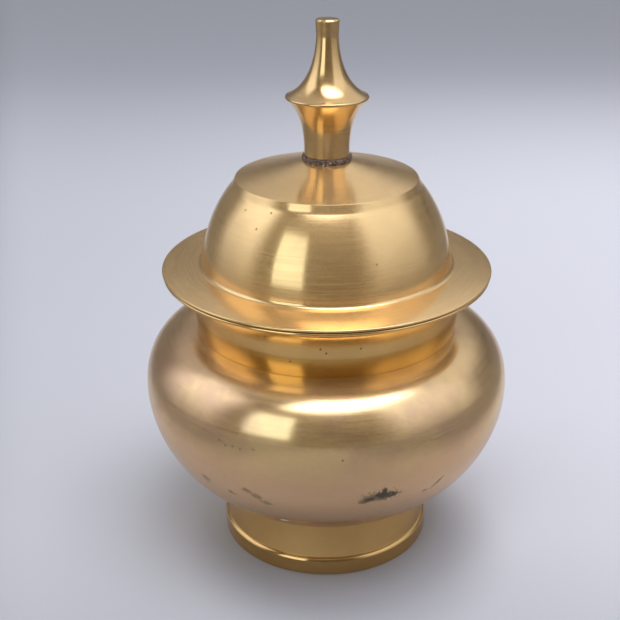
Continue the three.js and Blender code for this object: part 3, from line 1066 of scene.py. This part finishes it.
# The floor's colours, with light and shade painted on them, and the places between which one fades into the
# next
# Painted light: the floor darker on the left and lighter towards the right
FLOOR_LEFT_SHADED = (0.49, 0.475, 0.465, 1)
FLOOR_RIGHT_LIT = (0.675, 0.65, 0.635, 1)
FLOOR_SIDE_REACH = 0.2
# Painted shadow of the bowl on the floor in front of it
FLOOR_FRONT_SHADE = (0.34, 0.33, 0.325, 1)
FLOOR_FRONT_EDGES = (-0.12, 0.0)
# Painted shade: the floor darker far behind, where it curves up away from the light
FLOOR_FAR_SHADE = (0.29, 0.285, 0.285, 1)
FLOOR_FAR_EDGES = (0.26, 0.75)
# Painted shade: the floor darker off to both sides, which the belly's edges mirror
FLOOR_AWAY_SHADE = (0.19, 0.185, 0.18, 1)
FLOOR_AWAY_SPREAD = 0.257
FLOOR_AWAY_EDGES = (0.085, 0.16)
# The soft shade where the foot stands
SHADE_COLOUR = (0.68, 0.675, 0.68, 1)
SHADE_CENTRE = (0.006, -0.014, 0.0)
SHADE_EDGES = (0.026, 0.050)
FLOOR_ROUGHNESS = 0.9
FLOOR_SHEEN = 0.2
FLOOR_SIDES_X = (-0.34, 1.2)
FLOOR_FRONT_Y = -0.5
COVE_START_Y = 0.6
COVE_RADIUS = 0.35
COVE_STEPS = 24


def floor_colour(tree, place):
    """Paper with painted light and shade: lighter to the right, darker in front, far behind and off to both
    sides, and in the shade of the foot.
    """
    split = node(tree, "ShaderNodeSeparateXYZ", {0: place}).outputs
    # Painted light: lighter towards the right
    to_right = fade(tree, split["X"], -FLOOR_SIDE_REACH, FLOOR_SIDE_REACH)
    colour = mixed_colour(tree, to_right, FLOOR_LEFT_SHADED, FLOOR_RIGHT_LIT)
    # Painted shadow in front of the bowl
    colour = mixed_colour(tree, fade(tree, split["Y"], *FLOOR_FRONT_EDGES), FLOOR_FRONT_SHADE, colour)
    # Painted shade far behind
    colour = mixed_colour(tree, fade(tree, split["Y"], *FLOOR_FAR_EDGES), colour, FLOOR_FAR_SHADE)
    # Painted shade off to both sides
    beside = maths(tree, "ABSOLUTE", split["X"])
    beside = raised(tree, beside, split["Y"], -FLOOR_AWAY_SPREAD)
    colour = mixed_colour(tree, fade(tree, beside, *FLOOR_AWAY_EDGES), colour, FLOOR_AWAY_SHADE)
    values = {0: place, 1: SHADE_CENTRE}
    apart = node(tree, "ShaderNodeVectorMath", values, operation="DISTANCE").outputs["Value"]
    shade = mixed_colour(tree, fade(tree, apart, *SHADE_EDGES), SHADE_COLOUR, (1, 1, 1, 1))
    return mixed_colour(tree, 1.0, colour, shade, "MULTIPLY")


def make_floor():
    """A pale floor that curves up behind the bowl."""
    run = [(FLOOR_FRONT_Y, 0.0), (0.0, 0.0), (COVE_START_Y, 0.0)]
    for i in range(1, COVE_STEPS + 1):
        angle = math.pi / 2 * i / COVE_STEPS
        run.append((COVE_START_Y + COVE_RADIUS * math.sin(angle), COVE_RADIUS * (1 - math.cos(angle))))
    vertices = [(x, y, z) for y, z in run for x in FLOOR_SIDES_X]
    faces = [(2 * i, 2 * i + 1, 2 * i + 3, 2 * i + 2) for i in range(len(run) - 1)]
    mesh = bpy.data.meshes.new("floor")
    mesh.from_pydata(vertices, [], faces)
    mesh.polygons.foreach_set("use_smooth", [True] * len(faces))
    material = bpy.data.materials.new("floor_paper")
    material.use_nodes = True
    tree = material.node_tree
    shader = tree.nodes["Principled BSDF"]
    place = tree.nodes.new("ShaderNodeTexCoord").outputs["Object"]
    tree.links.new(floor_colour(tree, place), shader.inputs["Base Color"])
    shader.inputs["Roughness"].default_value = FLOOR_ROUGHNESS
    shader.inputs["Specular IOR Level"].default_value = FLOOR_SHEEN
    mesh.materials.append(material)
    floor = placed("floor", mesh)
    return floor


# The dark card in front of the bowl
CARD_LEFT_X = -0.14
CARD_RIGHT_X = 0.27
CARD_Y = -0.47
CARD_TOP_Z = 0.38
CARD_COLOUR = (0.14, 0.12, 0.085, 1)


def make_dark_card():
    """An upright card that only reflections see, as a studio flag. It keeps the front of the brass dark."""
    low_corners = [(CARD_LEFT_X, CARD_Y, 0.0), (CARD_RIGHT_X, CARD_Y, 0.0)]
    high_corners = [(CARD_RIGHT_X, CARD_Y, CARD_TOP_Z), (CARD_LEFT_X, CARD_Y, CARD_TOP_Z)]
    mesh = bpy.data.meshes.new("dark_room")
    mesh.from_pydata([*low_corners, *high_corners], [], [(0, 1, 2, 3)])
    material = bpy.data.materials.new("dark_room")
    material.use_nodes = True
    tree = material.node_tree
    tree.nodes.remove(tree.nodes["Principled BSDF"])
    glow = node(tree, "ShaderNodeEmission", {"Color": CARD_COLOUR, "Strength": 1.0})
    tree.links.new(glow.outputs[0], tree.nodes["Material Output"].inputs["Surface"])
    mesh.materials.append(material)
    card = placed("dark_room", mesh)
    card.visible_camera = card.visible_diffuse = card.visible_shadow = False
    card.visible_transmission = card.visible_volume_scatter = False
    return card


# The window, a soft rectangular light at the front left
WINDOW_PLACE = (-0.29, -0.43, 0.285)
WINDOW_AIM = (-0.02, 0, 0.27)
WINDOW_WIDTH = 0.26
WINDOW_HEIGHT = 0.43
WINDOW_RADIANCE = 1.1
WINDOW_COLOUR = (1.35, 1.6, 1.85)


def make_window():
    """A rectangular lamp that faces the bowl and shows in its reflections at its radiance."""
    lamp = bpy.data.lights.new("window", "AREA")
    lamp.shape = "RECTANGLE"
    lamp.size, lamp.size_y = WINDOW_WIDTH, WINDOW_HEIGHT
    lamp.energy = WINDOW_RADIANCE * math.pi * WINDOW_WIDTH * WINDOW_HEIGHT
    lamp.color = WINDOW_COLOUR
    holder = placed("window", lamp)
    holder.location = WINDOW_PLACE
    holder.rotation_euler = (Vector(WINDOW_AIM) - Vector(WINDOW_PLACE)).to_track_quat("-Z", "Y").to_euler()
    return holder


# The room that the brass reflects. Directions are in degrees: the azimuth is 0 towards the camera and grows
# to the right of the picture, and the height is 0 at the horizon.
ROOM_DARK = (0.20, 0.18, 0.13, 1)
ROOM_BEHIND_LOW = (0.20, 0.20, 0.21, 1)
ROOM_BEHIND_LEFT = (0.56, 0.58, 0.65, 1)
ROOM_BEHIND_RIGHT = (0.82, 0.86, 0.98, 1)
ROOM_BEHIND_EDGES = (15, 35)
ROOM_SEEN = (0.34, 0.345, 0.395, 1)
# One side of the room fades into the other over this much of a direction's length, each way
ROOM_BLEND = 0.3
# Each soft light: azimuth range, softness, heights at which it starts, is full, ends and is gone, radiance
SIDE_LIGHTS = [
    ((-118, -70), 22, (-25, 44, 48, 60), (1.60, 1.74, 2.10, 1)),
    ((42, 106), 24, (-25, 44, 54, 66), (1.15, 1.25, 1.48, 1)),
]
CEILING_LIGHT = ((-42, 108), 26, (53, 66, 91, 92), (5.0, 5.3, 6.3, 1))


def between(tree, value, low, high, soft):
    """1 where the value is between low and high, fading over the soft range centred on each end."""
    rise = fade(tree, value, low - soft / 2, low + soft / 2)
    fall = fade(tree, value, high - soft / 2, high + soft / 2, 1.0, 0.0)
    return times(tree, rise, fall)


def soft_light(tree, azimuth, height, light, colour):
    """The room's colour with one soft light added."""
    (left, right), soft, (start, full, end, gone), radiance = light
    across = between(tree, azimuth, left, right, soft)
    up = times(tree, fade(tree, height, start, full), fade(tree, height, end, gone, 1.0, 0.0))
    return mixed_colour(tree, times(tree, across, up), colour, radiance)


def make_room():
    """A room with soft lights at both sides and overhead. The camera sees one plain colour instead."""
    world = bpy.data.worlds.new("room")
    bpy.context.scene.world = world
    world.use_nodes = True
    tree = world.node_tree
    back = tree.nodes["Background"]
    way = tree.nodes.new("ShaderNodeTexCoord").outputs["Generated"]
    split = node(tree, "ShaderNodeSeparateXYZ", {0: way}).outputs
    forward = times(tree, split["Y"], -1.0)
    azimuth = maths(tree, "DEGREES", maths(tree, "ARCTAN2", split["X"], forward))
    height = maths(tree, "DEGREES", maths(tree, "ARCSINE", split["Z"]))
    to_right = fade(tree, split["X"], -ROOM_BLEND, ROOM_BLEND)
    behind = mixed_colour(tree, to_right, ROOM_BEHIND_LEFT, ROOM_BEHIND_RIGHT)
    behind = mixed_colour(tree, fade(tree, height, *ROOM_BEHIND_EDGES), ROOM_BEHIND_LOW, behind)
    room = mixed_colour(tree, fade(tree, split["Y"], -ROOM_BLEND, ROOM_BLEND), ROOM_DARK, behind)
    for light in [*SIDE_LIGHTS, CEILING_LIGHT]:
        room = soft_light(tree, azimuth, height, light, room)
    path = tree.nodes.new("ShaderNodeLightPath")
    colour = mixed_colour(tree, path.outputs["Is Camera Ray"], room, ROOM_SEEN)
    tree.links.new(colour, back.inputs["Color"])


CAMERA_DISTANCE = 0.2775
CAMERA_HEIGHT = 0.1905
CAMERA_SENSOR = 36
CAMERA_LENS = 63.87
CAMERA_TILT = math.pi / 2 - 0.41885
CAMERA_TURN = 0.01605
CAMERA_ROLL = -0.0018


def make_camera():
    """The camera at the photograph's viewing angle. It stands in front of the bowl and looks down on it."""
    camera = bpy.data.cameras.new("camera")
    camera.sensor_width = CAMERA_SENSOR
    camera.lens = CAMERA_LENS
    holder = placed("camera", camera)
    holder.location = (0, -CAMERA_DISTANCE, CAMERA_HEIGHT)
    holder.rotation_euler = (CAMERA_TILT, 0, CAMERA_TURN)
    holder.rotation_euler.rotate_axis("Z", CAMERA_ROLL)
    bpy.context.scene.camera = holder


make_camera()
finish = make_finishes()
make_foot_ring(finish)
make_foot_solder(finish)
make_belly_shell(finish)
make_neck_collar(finish)
make_lid_shell(finish)
make_locating_ring(finish)
make_solder_collar(finish)
make_knob(finish)
make_floor()
make_room()
make_window()
make_dark_card()
bpy.context.scene.view_settings.view_transform = "Standard"
